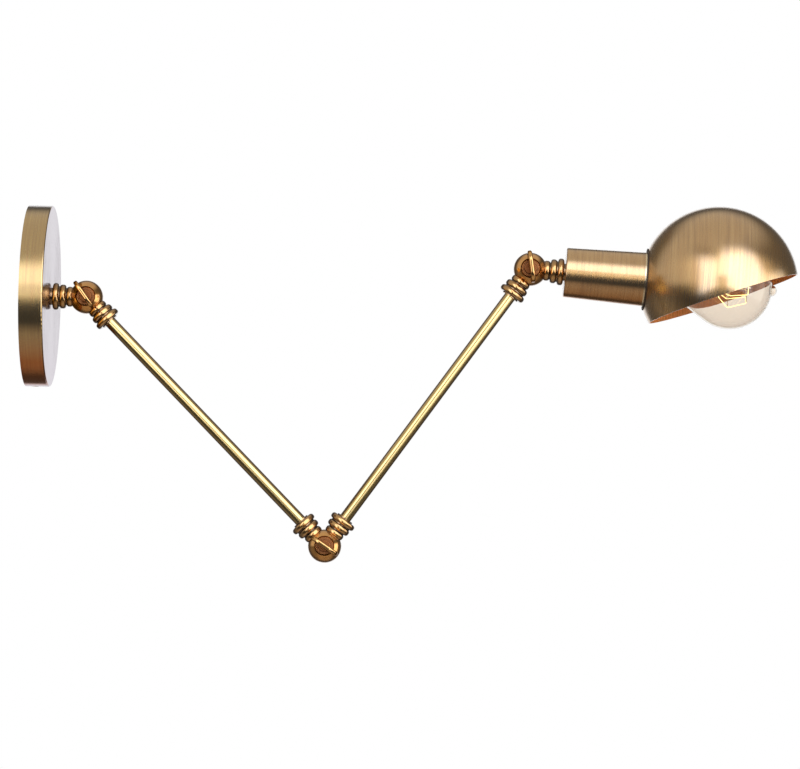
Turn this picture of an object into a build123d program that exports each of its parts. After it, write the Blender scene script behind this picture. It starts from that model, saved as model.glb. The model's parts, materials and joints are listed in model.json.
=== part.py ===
from build123d import *
import math
import os

os.makedirs("parts", exist_ok=True)

# Extendable wall lamp: a round canopy on the wall, two tube arms on three ball swivels,
# and a lamp head with a cut globe shade. Millimetres. The origin is the centre of the canopy's
# back plane on the wall, X runs out from the wall and Z is up. The swivels turn about Y.

# Canopy and wall bracket
CANOPY_D = 127.0
CANOPY_DEPTH = 16.5
CANOPY_WALL = 1.2
CANOPY_EDGE_R = 1.0
BRACKET_WIDTH = 25.0
BRACKET_SHEET = 1.5
BRACKET_TAB = 11.0
BRACKET_TAB_R = 4.0
BRACKET_HOLE_D = 14.0
BRACKET_TO_RIM = 1.3
SLOT_SPACING = 70.0
SLOT_WIDTH = 5.0
SLOT_LENGTH = 14.0
GRUB_D = 4.0
GRUB_LENGTH = 6.0
GRUB_AT_X = 7.0
GRUB_BELOW_RIM = 0.3
HEX_SOCKET_AF = 2.0
HEX_SOCKET_DEPTH = 2.0

# Ball swivels
BALL_D = 23.4
SEAM_GAP = 0.3
TURN_GAP = 0.3
CHAMBER_D = 16.0
CHAMBER_DEPTH = 5.0
SCREW_BOSS_D = 8.4
RING_RECESS = 0.5
RING_LAND = 1.2
RING_WIDTH = 1.9
NECK_D = 14.2
NECK_END = 2.2
NECK_SUNK = 2.6
BEAD_MID_D = 17.0
BEAD_MID_WIDTH = 4.8
BEAD_END_D = 19.0
BEAD_END_WIDTH = 4.4
BEAD_GROOVE = 0.3
BEAD_ROUNDING = 0.42
GROOVE_D = 14.8
LIP_D = 12.2
LIP_WIDTH = 0.9

# Thumbscrews
SCREW_D = 4.8
SCREW_TIP_DEPTH = 8.2
SEAT_D = 14.0
SEAT_DEPTH = 4.2
SEAT_LIP_R = 1.1
WASHER_T = 1.0
WASHER_D = 11.6
WASHER_SPLIT = 0.8
COLLAR_D = 8.6
COLLAR_LENGTH = 1.8
COLLAR_EDGE_R = 0.5
BLADE_WIDTH = 22.0
BLADE_LENGTH = 20.0
BLADE_T = 3.0
BLADE_CORNER_R = 7.0
BLADE_EDGE_R = 1.1
BLADE_ROOT = 1.0

# Arms
TUBE_D = 8.4
TUBE_WALL = 1.0
TUBE_LENGTH = 213.0
TUBE_SEAT = 10.0
LOWER_ARM_ELEVATION = -44.9
UPPER_ARM_ELEVATION = 54.7
HEAD_ELEVATION = -3.8
BLADE_ELEVATIONS = {"shoulder": -53.7, "elbow": -33.1, "head": -81.2}

# Threaded nipples and the nuts on them
NIPPLE_D = 10.0
NIPPLE_BORE = 7.0
NIPPLE_SEAT = 9.0
NIPPLE_PAST_NUT = 2.3
NUT_AF = 14.0
NUT_T = 5.0
LOCK_WASHER_D = 17.0
LOCK_WASHER_T = 1.0
TAG_WIDTH = 5.0

# Wiring
LEAD_D = 1.9
LEAD_SPLIT = 1.1
LEAD_OFF_SEAM = 1.75
LEAD_BEND_R = 1.6
BLOCK_WIDTH = 22.0
BLOCK_HEIGHT = 15.0
BLOCK_DEPTH = 10.5
BLOCK_FROM_AXIS = 10.5
BLOCK_EDGE_R = 1.0
BLOCK_POLE_PITCH = 11.0
BLOCK_LEAD_HEIGHT = 3.4
BLOCK_LEAD_IN = 5.0
TERMINAL_SCREW_D = 3.4
TERMINAL_SUNK = 1.0
TERMINAL_SLOT_DEPTH = 0.8
TERMINAL_SLOT = 0.7
BLOCK_SCREW_D = 3.0
BLOCK_SCREW_HEAD_D = 5.2
BLOCK_SCREW_HEAD = 1.8
BLOCK_SCREW_SUNK = 2.5
EARTH_DROP = 15.0
EARTH_SCREW_D = 4.0
EARTH_HEAD_D = 7.2
EARTH_HEAD = 2.4
EARTH_SLOT = 0.9
EARTH_RING_D = 8.4
EARTH_RING_T = 0.8
EARTH_TAIL = 7.5
EARTH_TAIL_WIDTH = 2.8
EARTH_LOOP = 9.0
EARTH_LEAD_GAP = 1.0

# Socket cup and lamp socket
CUP_BACK_D = 34.7
CUP_FRONT_D = 37.8
CUP_LENGTH = 55.2
CUP_WALL = 1.0
CUP_EDGE_R = 0.8
SOCKET_DEPTH = 6.7
SOCKET_CAP_LENGTH = 25.0
SOCKET_CAP_D = 31.2
SOCKET_CAP_WALL = 2.0
SOCKET_CAP_FLOOR = 3.5
SOCKET_CAP_EDGE_R = 3.0
SOCKET_FLOOR = 10.0
SOCKET_SPIGOT = 4.0
SKIRT_D = 32.6
SKIRT_WALL = 2.0
SKIRT_LENGTH = 21.0
SKIRT_THREAD_PITCH = 2.0
SKIRT_THREAD_DEPTH = 0.5
SHELL_T = 0.5
SHELL_HOLE_D = 13.0
SHELL_SHORT = 1.0
TERMINAL_RADIUS = 8.0
TERMINAL_HEAD_D = 6.0
TERMINAL_HEAD = 2.0
TERMINAL_SHANK_D = 3.0
TERMINAL_SHANK = 5.0
CENTRE_BASE_D = 9.0
CENTRE_BASE_T = 1.0
CENTRE_PIN_D = 4.8
CENTRE_HEIGHT = 4.0

# Shade and its clamping rings
SEAT_RING_D = 38.4
SEAT_RING_T = 1.1
GASKET_D = 43.4
GASKET_T = 0.8
SHADE_D = 111.4
SHADE_SHEET = 1.0
SHADE_FLAT_D = 43.6
MOUTH_TILT = 23.0
MOUTH_DROP = 9.6
RING_NUT_D = 41.0
RING_NUT_T = 6.0
RING_NUT_EDGE_R = 1.0
RING_NUT_NOTCHES = 12
NOTCH_D = 3.2
NOTCH_OUT = 0.6
NOTCH_LAND = 1.5

# Bulb
GLOBE_D = 59.4
GLOBE_CENTRE = 59.0
GLASS_T = 0.8
PIP_D = 8.0
PIP_HEIGHT = 3.4
CAP_D = 26.3
CAP_THREAD_DEPTH = 0.8
CAP_THREAD_PITCH = 3.6
CAP_THREADS = 5
CAP_LENGTH = 22.0
CAP_WALL = 0.45
INSULATOR_T = 2.7
CONTACT_T = 1.3
CONTACT_D = 9.0
INSULATOR_SEAT = 1.5
BULB_NECK_IN = 6.0
BULB_NECK_OUT = 1.0
MOUNT_ROD_D = 2.6
MOUNT_FLARE = 6.0
MOUNT_NECK_D = 10.0
MOUNT_PINCH_D = 7.2
FILAMENT_D = 0.45
FILAMENT_BEND_R = 1.2
FILAMENT_STRANDS = 6
FILAMENT_LOW_AT = -7.4
FILAMENT_LOW_D = 15.2
FILAMENT_WIDE_AT = -0.5
FILAMENT_WIDE_D = 29.2
FILAMENT_HIGH_AT = 12.4
FILAMENT_HIGH_D = 20.8
SUPPORT_D = 0.6
SUPPORT_SHORT = 0.6
SUPPORT_FOOT_D = 8.8
SUPPORT_TO_HOOK = 0.4

# Clearances
SLIP = 0.05
TOUCH = 0.1
CLEAR = 0.3
CUT_PAST = 1.0

ball_r = BALL_D / 2
half_seam = SEAM_GAP / 2
neck_at = ball_r - NECK_SUNK
bead_mid_at = ball_r + NECK_END
bead_end_at = bead_mid_at + BEAD_MID_WIDTH + BEAD_GROOVE
stem_end = bead_end_at + BEAD_END_WIDTH + LIP_WIDTH
arm_length = TUBE_LENGTH + 2 * (stem_end - TUBE_SEAT)
lead_r = LEAD_D / 2
tube_bore = TUBE_D - 2 * TUBE_WALL
chamber_middle = (SCREW_BOSS_D + CHAMBER_D) / 4
chamber_end = chamber_middle - CLEAR


def rod(radius, start, end):
    """A cylinder on the X axis from one X to another."""
    return Pos((start + end) / 2, 0, 0) * Rot(0, 90, 0) * Cylinder(radius, end - start)


def ring(outer_r, inner_r, start, end):
    """A plain ring on the X axis."""
    return rod(outer_r, start, end) - rod(inner_r, start - CUT_PAST, end + CUT_PAST)


def pin(radius, start, end):
    """A cylinder on the Y axis from one Y to another."""
    return Pos(0, (start + end) / 2, 0) * Rot(90, 0, 0) * Cylinder(radius, abs(end - start))


def upright(radius, start, end):
    """A cylinder on the Z axis from one Z to another."""
    return Pos(0, 0, (start + end) / 2) * Cylinder(radius, end - start)


def block(x0, x1, y0, y1, z0, z1):
    """A box between two corners."""
    return Pos((x0 + x1) / 2, (y0 + y1) / 2, (z0 + z1) / 2) * Box(x1 - x0, y1 - y0, z1 - z0)


def rounded_rod(radius, start, end, edge_r):
    """A cylinder on the X axis with both end edges rounded."""
    body = rod(radius, start, end)
    return fillet(body.edges().filter_by(GeomType.CIRCLE), edge_r)


def bead(diameter, start, end):
    """A full round bead on the X axis."""
    return rounded_rod(diameter / 2, start, end, BEAD_ROUNDING * (end - start))


def spun(points):
    """A solid turned about the X axis from (x, radius) points."""
    outline = Polyline(*[(x, r) for x, r in points], close=True)
    return revolve(make_face(outline), Axis.X, 360)


def hex_nut(across_flats, start, end, hole_r):
    """A hexagon nut on the X axis."""
    hexagon = RegularPolygon(across_flats / 2, 6, major_radius=False)
    body = Pos(start, 0, 0) * Rot(0, 90, 0) * extrude(hexagon, end - start)
    return body - rod(hole_r, start - CUT_PAST, end + CUT_PAST)


def bent_wire(points, radius, bend_r):
    """A round wire along straight runs with rounded bends."""
    route = FilletPolyline(*points, radius=bend_r)
    section = Plane(origin=route @ 0, z_dir=route % 0) * Circle(radius)
    return sweep(section, path=route)


def straight_wire(start, end, radius):
    """A straight round wire between two points."""
    run = Vector(*end) - Vector(*start)
    return Solid.make_cylinder(radius, run.length, Plane(start, z_dir=run))


def lead(points):
    """An insulated lead from point to point."""
    return bent_wire(points, lead_r, LEAD_BEND_R)


def pan_screw(head_r, head_h, shank_r, shank_l, slot_w):
    """A slotted screw on the X axis, its head seated on X = 0 and its shank running to -X."""
    head = rod(head_r, 0, head_h)
    head = fillet(head.faces().sort_by(Axis.X)[-1].edges(), head_h * 0.45)
    slot = block(head_h * 0.55, head_h + CUT_PAST, -slot_w / 2, slot_w / 2, -head_r * 2, head_r * 2)
    return head - slot + rod(shank_r, -shank_l, head_h / 4)


def swivel_stem():
    """The turned stem of a swivel half, pivot at the origin, running along +X."""
    core = rod(LIP_D / 2, 0, stem_end)
    core += rod(GROOVE_D / 2, bead_mid_at + BEAD_MID_WIDTH / 2, bead_end_at + BEAD_END_WIDTH / 2)
    neck = bead(NECK_D, neck_at, bead_mid_at)
    mid = bead(BEAD_MID_D, bead_mid_at, bead_mid_at + BEAD_MID_WIDTH)
    end = bead(BEAD_END_D, bead_end_at, bead_end_at + BEAD_END_WIDTH)
    return core + neck + mid + end


def swivel_half(side, bore_d, seat):
    """One half of a ball swivel with its stem; side -1 faces the thumbscrew, +1 takes its thread."""
    reach = 2 * (stem_end + BALL_D)
    own = Pos(0, side * (half_seam + reach / 2), 0) * Box(reach, reach, reach)
    ball = Sphere(ball_r) & own
    if side < 0:
        ball -= pin(SEAT_D / 2, -ball_r - CUT_PAST, -ball_r + SEAT_DEPTH)
        ball = fillet(ball.edges().filter_by(GeomType.CIRCLE).sort_by(Axis.Y)[0], SEAT_LIP_R)
    stem = swivel_stem() - (Sphere(ball_r + TURN_GAP) - own)
    half = ball + stem
    floor = side * (half_seam + RING_RECESS)
    half -= pin(ball_r - RING_LAND, -floor, floor) & own
    cavity = pin(CHAMBER_D / 2, floor, side * CHAMBER_DEPTH)
    half -= cavity - pin(SCREW_BOSS_D / 2, floor, side * CHAMBER_DEPTH)
    half -= rod(tube_bore / 2, chamber_middle, stem_end + CUT_PAST)
    half -= rod(bore_d / 2 + SLIP, stem_end - seat, stem_end + CUT_PAST)
    if side < 0:
        half -= pin(SCREW_D / 2 + CLEAR, -ball_r, 0)
    else:
        half -= pin(SCREW_D / 2 + SLIP, 0, SCREW_TIP_DEPTH + CLEAR)
    return half


def friction_ring():
    """The fibre ring between the two halves of a swivel."""
    face = half_seam + RING_RECESS
    outer_r = ball_r - RING_LAND - CLEAR
    return pin(outer_r, -face, face) - pin(outer_r - RING_WIDTH, -face - CUT_PAST, face + CUT_PAST)


def spring_washer():
    """The split spring washer under a thumbscrew's collar."""
    seat = -ball_r + SEAT_DEPTH
    washer = pin(WASHER_D / 2, seat - WASHER_T, seat)
    washer -= pin(SCREW_D / 2 + CLEAR, seat - WASHER_T - CUT_PAST, seat + CUT_PAST)
    half_split = WASHER_SPLIT / 2
    return washer - block(0, WASHER_D, seat - WASHER_T - CUT_PAST, seat + CUT_PAST, -half_split, half_split)


def thumbscrew():
    """A thumbscrew on the Y axis with its flat blade along X."""
    under = -ball_r + SEAT_DEPTH - WASHER_T
    top = under - COLLAR_LENGTH
    collar = pin(COLLAR_D / 2, top, under)
    collar = fillet(collar.faces().sort_by(Axis.Y)[0].edges(), COLLAR_EDGE_R)
    shank = pin(SCREW_D / 2, under - COLLAR_LENGTH / 2, SCREW_TIP_DEPTH)
    outline = Rectangle(BLADE_WIDTH, BLADE_LENGTH + BLADE_ROOT)
    outline = fillet(outline.vertices(), BLADE_CORNER_R)
    blade = extrude(outline, BLADE_T / 2, both=True)
    blade = fillet(blade.edges().filter_by(Plane.XY), BLADE_EDGE_R)
    blade = Pos(0, top + (BLADE_ROOT - BLADE_LENGTH) / 2, 0) * blade
    return collar + shank + blade


# Places of the three pivots and of what they carry
def aim(elevation):
    """Turns +X up to an elevation angle in the X-Z plane."""
    return Rot(0, -elevation, 0)


def along(start, elevation, distance):
    angle = math.radians(elevation)
    return (start[0] + distance * math.cos(angle), 0, start[2] + distance * math.sin(angle))


shoulder = (CANOPY_DEPTH + stem_end, 0, 0)
elbow = along(shoulder, LOWER_ARM_ELEVATION, arm_length)
wrist = along(elbow, UPPER_ARM_ELEVATION, arm_length)
at_base = Pos(*shoulder) * Rot(0, 180, 0)
at_lower = Pos(*shoulder) * aim(LOWER_ARM_ELEVATION)
at_upper = Pos(*elbow) * aim(UPPER_ARM_ELEVATION)
at_head = Pos(*wrist) * aim(HEAD_ELEVATION)
far_end = Pos(arm_length, 0, 0) * Rot(0, 180, 0)

nodes = {}

# Canopy and what it covers
canopy_r = CANOPY_D / 2
plate_back = CANOPY_DEPTH - CANOPY_WALL
canopy = rod(canopy_r, 0, CANOPY_DEPTH)
canopy = fillet(canopy.faces().sort_by(Axis.X)[-1].edges(), CANOPY_EDGE_R)
canopy -= rod(canopy_r - CANOPY_WALL, -CUT_PAST, plate_back)
canopy -= rod(NIPPLE_D / 2 + CLEAR, 0, CANOPY_DEPTH + CUT_PAST)
canopy -= Pos(GRUB_AT_X, 0, 0) * upright(GRUB_D / 2 + CLEAR, -canopy_r - CUT_PAST, canopy_r + CUT_PAST)
nodes["canopy"] = canopy

tab_z = canopy_r - CANOPY_WALL - BRACKET_TO_RIM
half_w = BRACKET_WIDTH / 2
strap = block(0, BRACKET_SHEET, -half_w, half_w, -tab_z, tab_z)
strap -= rod(BRACKET_HOLE_D / 2, -CUT_PAST, BRACKET_SHEET + CUT_PAST)
slot_face = Plane.YZ * SlotOverall(SLOT_LENGTH, SLOT_WIDTH, rotation=90)
slot = Pos(-CUT_PAST, 0, 0) * extrude(slot_face, BRACKET_SHEET + 2 * CUT_PAST)
tab_outline = Plane.XY * Pos(BRACKET_TAB / 2, 0) * Rectangle(BRACKET_TAB, BRACKET_WIDTH)
tab_corners = tab_outline.vertices().group_by(Axis.X)[-1]
tab = extrude(fillet(tab_corners, BRACKET_TAB_R), BRACKET_SHEET)
bracket = strap + Pos(0, 0, tab_z - BRACKET_SHEET) * tab + Pos(0, 0, -tab_z) * tab
for way in (-1, 1):
    bracket -= Pos(0, 0, way * SLOT_SPACING / 2) * slot
bracket -= Pos(GRUB_AT_X, 0, 0) * upright(GRUB_D / 2 + SLIP, -canopy_r, canopy_r)
bracket -= Pos(0, 0, -EARTH_DROP) * rod(EARTH_SCREW_D / 2 + SLIP, -CUT_PAST, BRACKET_SHEET + CUT_PAST)
nodes["wall_bracket"] = bracket

grub_top = canopy_r - GRUB_BELOW_RIM
grub = upright(GRUB_D / 2, grub_top - GRUB_LENGTH, grub_top)
hex_key = RegularPolygon(HEX_SOCKET_AF / 2, 6, major_radius=False)
grub -= Pos(0, 0, grub_top - HEX_SOCKET_DEPTH) * extrude(hex_key, HEX_SOCKET_DEPTH + CUT_PAST)
grub = Pos(GRUB_AT_X, 0, 0) * grub
nodes["canopy_grub_screws"] = Compound(children=[grub, Rot(180, 0, 0) * grub])

# Base nipple, its tag washer and nut inside the canopy
nut_front = plate_back - LOCK_WASHER_T
nut_back = nut_front - NUT_T
nipple_back = nut_back - NIPPLE_PAST_NUT
nipple_front = CANOPY_DEPTH + NIPPLE_SEAT
nodes["base_nipple"] = ring(NIPPLE_D / 2, NIPPLE_BORE / 2, nipple_back, nipple_front)
tag = block(nut_front, plate_back, -TAG_WIDTH / 2, TAG_WIDTH / 2, -EARTH_DROP, 0)
tag_washer = rod(LOCK_WASHER_D / 2, nut_front, plate_back) + tag
nodes["base_washer"] = tag_washer - rod(NIPPLE_D / 2 + SLIP, 0, CANOPY_DEPTH)
nodes["base_nut"] = hex_nut(NUT_AF, nut_back, nut_front, NIPPLE_D / 2 + SLIP)

# Terminal block on the bracket, with the supply side left open
block_top = BRACKET_SHEET + BLOCK_DEPTH
lead_x = BRACKET_SHEET + BLOCK_LEAD_HEIGHT
term = block(BRACKET_SHEET, block_top, -BLOCK_WIDTH / 2, BLOCK_WIDTH / 2, 0, BLOCK_HEIGHT)
term = Pos(0, 0, BLOCK_FROM_AXIS) * fillet(term.edges().filter_by(Axis.X), BLOCK_EDGE_R)
term_mid = BLOCK_FROM_AXIS + BLOCK_HEIGHT / 2
pole_y = BLOCK_POLE_PITCH / 2
screw_r = TERMINAL_SCREW_D / 2
screw_top = block_top - TERMINAL_SUNK
half_slot = TERMINAL_SLOT / 2
terminal_screws = []
for pole in (-1, 1):
    passage = upright(lead_r + CLEAR, BLOCK_FROM_AXIS - CUT_PAST, BLOCK_FROM_AXIS + BLOCK_HEIGHT + CUT_PAST)
    term -= Pos(lead_x, pole * pole_y, 0) * passage
    for row in (-1, 1):
        place = Pos(0, pole * pole_y, term_mid + row * BLOCK_HEIGHT / 4)
        term -= place * rod(screw_r + SLIP, lead_x, block_top + CUT_PAST)
        screw = rod(screw_r, lead_x + lead_r + CLEAR, screw_top)
        slot_floor = screw_top - TERMINAL_SLOT_DEPTH
        screw -= block(slot_floor, block_top, -half_slot, half_slot, -screw_r, screw_r)
        terminal_screws.append(place * screw)
head_seat = block_top - BLOCK_SCREW_SUNK
fixing_r = BLOCK_SCREW_D / 2
fixing_head_r = BLOCK_SCREW_HEAD_D / 2
fixing = pan_screw(fixing_head_r, BLOCK_SCREW_HEAD, fixing_r, head_seat - CLEAR, TERMINAL_SLOT)
term -= Pos(0, 0, term_mid) * rod(fixing_r + SLIP, 0, block_top)
term -= Pos(0, 0, term_mid) * rod(fixing_head_r + CLEAR, head_seat, block_top + CUT_PAST)
nodes["wall_bracket"] -= Pos(0, 0, term_mid) * rod(fixing_r + SLIP, -CUT_PAST, BRACKET_SHEET + CUT_PAST)
nodes["terminal_block"] = term
nodes["terminal_screws"] = Compound(children=terminal_screws)
nodes["block_screw"] = Pos(head_seat, 0, term_mid) * fixing

# Earth point on the bracket and its lead to the tag washer
tag_face = BRACKET_SHEET + EARTH_RING_T
half_tail = EARTH_TAIL_WIDTH / 2
tail_end = -EARTH_DROP - EARTH_TAIL
eye = Pos(0, 0, -EARTH_DROP) * rod(EARTH_RING_D / 2, BRACKET_SHEET, tag_face)
eye += block(BRACKET_SHEET, tag_face, -half_tail, half_tail, tail_end, -EARTH_DROP)
nodes["earth_ring"] = eye - Pos(0, 0, -EARTH_DROP) * rod(EARTH_SCREW_D / 2 + SLIP, 0, CANOPY_DEPTH)
earth_screw = pan_screw(EARTH_HEAD_D / 2, EARTH_HEAD, EARTH_SCREW_D / 2, tag_face - CLEAR, EARTH_SLOT)
nodes["earth_screw"] = Pos(tag_face, 0, -EARTH_DROP) * earth_screw
earth_x = tag_face + lead_r + SLIP
tag_x = nut_front - lead_r - SLIP
earth_low = -EARTH_DROP - EARTH_LOOP
earth_clear = EARTH_HEAD_D / 2 + EARTH_LEAD_GAP
nodes["earth_lead"] = lead(
    [
        (tag_x, 0, -EARTH_DROP + EARTH_RING_D / 2),
        (tag_x, 0, earth_low),
        (earth_x, 0, earth_low),
        (earth_x, 0, -EARTH_DROP - earth_clear),
    ]
)

# Supply leads from the terminal block through the nipple into the first swivel
lead_in = BLOCK_FROM_AXIS + BLOCK_LEAD_IN
lead_rise = BLOCK_FROM_AXIS / 2
base_leads = [
    lead(
        [
            (shoulder[0] - chamber_end, -LEAD_OFF_SEAM, LEAD_SPLIT),
            (lead_x, -LEAD_OFF_SEAM, LEAD_SPLIT),
            (lead_x, -pole_y, LEAD_SPLIT + lead_rise),
            (lead_x, -pole_y, lead_in),
        ]
    ),
    lead(
        [
            (shoulder[0] - chamber_end, -LEAD_OFF_SEAM, -LEAD_SPLIT),
            (lead_x - LEAD_BEND_R, -LEAD_OFF_SEAM, -LEAD_SPLIT),
            (lead_x, pole_y, LEAD_SPLIT + lead_rise),
            (lead_x, pole_y, lead_in),
        ]
    ),
]
nodes["base_leads"] = Compound(children=base_leads)

# Swivel halves: the near half holds the thumbscrew's head and the far half takes its thread
near_half = swivel_half(-1, TUBE_D, TUBE_SEAT)
far_half = swivel_half(1, TUBE_D, TUBE_SEAT)
near_nipple_half = swivel_half(-1, NIPPLE_D, NIPPLE_SEAT)
nodes["base_knuckle"] = at_base * near_nipple_half
nodes["lower_arm_shoulder_half"] = at_lower * far_half
nodes["lower_arm_elbow_half"] = at_lower * far_end * far_half
nodes["upper_arm_elbow_half"] = at_upper * near_half
nodes["upper_arm_head_half"] = at_upper * far_end * far_half
nodes["head_knuckle"] = at_head * near_nipple_half

for name, pivot in (("shoulder", shoulder), ("elbow", elbow), ("head", wrist)):
    turned = Pos(*pivot) * aim(BLADE_ELEVATIONS[name])
    nodes[name + "_friction_ring"] = Pos(*pivot) * friction_ring()
    nodes[name + "_spring_washer"] = turned * spring_washer()
    nodes[name + "_thumbscrew"] = turned * thumbscrew()

# Arm tubes and the leads inside them
tube_start = stem_end - TUBE_SEAT
tube = ring(TUBE_D / 2, tube_bore / 2, tube_start, arm_length - tube_start)
nodes["lower_arm_tube"] = at_lower * tube
nodes["upper_arm_tube"] = at_upper * tube


def arm_leads(start_y, end_y):
    """Two straight leads through an arm, from one swivel's chamber to the other's."""
    pair = []
    for way in (-1, 1):
        start = (chamber_end, start_y, way * LEAD_SPLIT)
        end = (arm_length - chamber_end, end_y, way * LEAD_SPLIT)
        pair.append(straight_wire(start, end, lead_r))
    return Compound(children=pair)


nodes["lower_arm_leads"] = at_lower * arm_leads(LEAD_OFF_SEAM, LEAD_OFF_SEAM)
nodes["upper_arm_leads"] = at_upper * arm_leads(-LEAD_OFF_SEAM, LEAD_OFF_SEAM)

# Lamp head, built along +X from its pivot
cup_back = stem_end
cup_front = cup_back + CUP_LENGTH
cup_floor = cup_back + CUP_WALL
cup = spun([(cup_back, 0), (cup_back, CUP_BACK_D / 2), (cup_front, CUP_FRONT_D / 2), (cup_front, 0)])
cup = fillet(cup.edges().filter_by(GeomType.CIRCLE).sort_by(Axis.X)[0], CUP_EDGE_R)
cup -= spun(
    [
        (cup_floor, 0),
        (cup_floor, CUP_BACK_D / 2 - CUP_WALL),
        (cup_front + CUT_PAST, CUP_FRONT_D / 2 - CUP_WALL),
        (cup_front + CUT_PAST, 0),
    ]
)
cup -= rod(NIPPLE_D / 2 + CLEAR, 0, cup_front)

head_nut_back = cup_floor + LOCK_WASHER_T
head_nut_front = head_nut_back + NUT_T
socket_floor = cup_front - SOCKET_DEPTH
cap_front = socket_floor - SOCKET_FLOOR
cap_back = cap_front - SOCKET_CAP_LENGTH
cap_floor = cap_back + SOCKET_CAP_FLOOR
nipple_end = cap_floor + NIPPLE_PAST_NUT
head_nipple = ring(NIPPLE_D / 2, NIPPLE_BORE / 2, stem_end - NIPPLE_SEAT, nipple_end)
head_washer = ring(LOCK_WASHER_D / 2, NIPPLE_D / 2 + SLIP, cup_floor, head_nut_back)
head_nut = hex_nut(NUT_AF, head_nut_back, head_nut_front, NIPPLE_D / 2 + SLIP)

cap_r = SOCKET_CAP_D / 2
socket_cap = rod(cap_r, cap_back, cap_front)
socket_cap = fillet(socket_cap.faces().sort_by(Axis.X)[0].edges(), SOCKET_CAP_EDGE_R)
socket_cap -= rod(cap_r - SOCKET_CAP_WALL, cap_floor, cap_front + CUT_PAST)
socket_cap -= rod(NIPPLE_D / 2 + SLIP, cap_back - CUT_PAST, cap_front)

# The socket body: a floor with the terminals behind it and a threaded skirt around the screw shell
skirt_r = SKIRT_D / 2
skirt_bore = skirt_r - SKIRT_WALL
skirt_end = cup_front + SKIRT_LENGTH
spigot_back = cap_front - SOCKET_SPIGOT
body = rod(cap_r, cap_front, socket_floor + CUT_PAST) + rod(skirt_r, socket_floor, skirt_end)
body += rod(cap_r - SOCKET_CAP_WALL - SLIP, spigot_back, cap_front + CUT_PAST)
body -= rod(skirt_bore, socket_floor, skirt_end + CUT_PAST)
thread_start = cup_front + SEAT_RING_T + GASKET_T + SHADE_SHEET + RING_NUT_T
groove_count = int((skirt_end - thread_start) / SKIRT_THREAD_PITCH)
for k in range(groove_count):
    groove_x = thread_start + (k + 0.5) * SKIRT_THREAD_PITCH
    groove_end = groove_x + SKIRT_THREAD_PITCH / 2
    body -= ring(skirt_r + CUT_PAST, skirt_r - SKIRT_THREAD_DEPTH, groove_x, groove_end)
shank_r = TERMINAL_SHANK_D / 2
wire_screw = pan_screw(TERMINAL_HEAD_D / 2, TERMINAL_HEAD, shank_r, TERMINAL_SHANK, TERMINAL_SLOT)
socket_terminals = []
for way in (-1, 1):
    place = Pos(spigot_back, 0, way * TERMINAL_RADIUS) * Rot(0, 180, 0)
    socket_terminals.append(place * wire_screw)
    body -= place * rod(shank_r + SLIP, -TERMINAL_SHANK - CLEAR, CUT_PAST)

shell_r = skirt_bore - SLIP
shell_hole_r = SHELL_HOLE_D / 2
socket_shell = ring(shell_r, shell_r - SHELL_T, socket_floor, skirt_end - SHELL_SHORT)
socket_shell += ring(shell_r - SHELL_T / 2, shell_hole_r, socket_floor, socket_floor + SHELL_T)
bulb_foot = socket_floor + CENTRE_HEIGHT
socket_contact = rod(CENTRE_BASE_D / 2, socket_floor, socket_floor + CENTRE_BASE_T)
socket_contact += rod(CENTRE_PIN_D / 2, socket_floor, bulb_foot)

head_leads = []
for way in (-1, 1):
    head_leads.append(
        lead(
            [
                (chamber_end, -LEAD_OFF_SEAM, way * LEAD_SPLIT),
                (nipple_end + lead_r, -LEAD_OFF_SEAM, way * LEAD_SPLIT),
                (nipple_end + TERMINAL_RADIUS, 0, way * TERMINAL_RADIUS),
                (spigot_back - TERMINAL_HEAD - TOUCH, 0, way * TERMINAL_RADIUS),
            ]
        )
    )

# Shade stack on the skirt: seat ring, gasket, shade and ring nut
ring_front = cup_front + SEAT_RING_T
gasket_front = ring_front + GASKET_T
seat_ring = ring(SEAT_RING_D / 2, skirt_r + SLIP, cup_front, ring_front)
gasket = ring(GASKET_D / 2, skirt_r + SLIP, ring_front, gasket_front)
shade_r = SHADE_D / 2
flat_to_centre = math.sqrt(shade_r**2 - (SHADE_FLAT_D / 2) ** 2)
shade_centre = gasket_front + flat_to_centre
inner_flat = gasket_front + SHADE_SHEET
past_shade = shade_centre + SHADE_D
globe = Pos(shade_centre, 0, 0) * Sphere(shade_r)
globe &= rod(SHADE_D, gasket_front, past_shade)
hollow = Pos(shade_centre, 0, 0) * Sphere(shade_r - SHADE_SHEET)
hollow &= rod(SHADE_D, inner_flat, past_shade)
below = block(-SHADE_D, SHADE_D, -SHADE_D, SHADE_D, -2 * SHADE_D, -MOUTH_DROP)
mouth = Pos(shade_centre, 0, 0) * Rot(0, -MOUTH_TILT, 0) * below
shade = globe - hollow - mouth
shade -= rod(skirt_r + CLEAR, gasket_front - CUT_PAST, inner_flat + CUT_PAST)

nut_r = RING_NUT_D / 2
ring_nut_front = inner_flat + RING_NUT_T
ring_nut = rod(nut_r, inner_flat, ring_nut_front)
ring_nut = fillet(ring_nut.faces().sort_by(Axis.X)[-1].edges(), RING_NUT_EDGE_R)
ring_nut -= rod(skirt_r + SLIP, inner_flat - CUT_PAST, ring_nut_front + CUT_PAST)
for k in range(RING_NUT_NOTCHES):
    notch = rod(NOTCH_D / 2, inner_flat + NOTCH_LAND, ring_nut_front + CUT_PAST)
    notch = Pos(0, 0, nut_r + NOTCH_OUT) * notch
    ring_nut -= Rot(k * 360 / RING_NUT_NOTCHES, 0, 0) * notch

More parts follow.
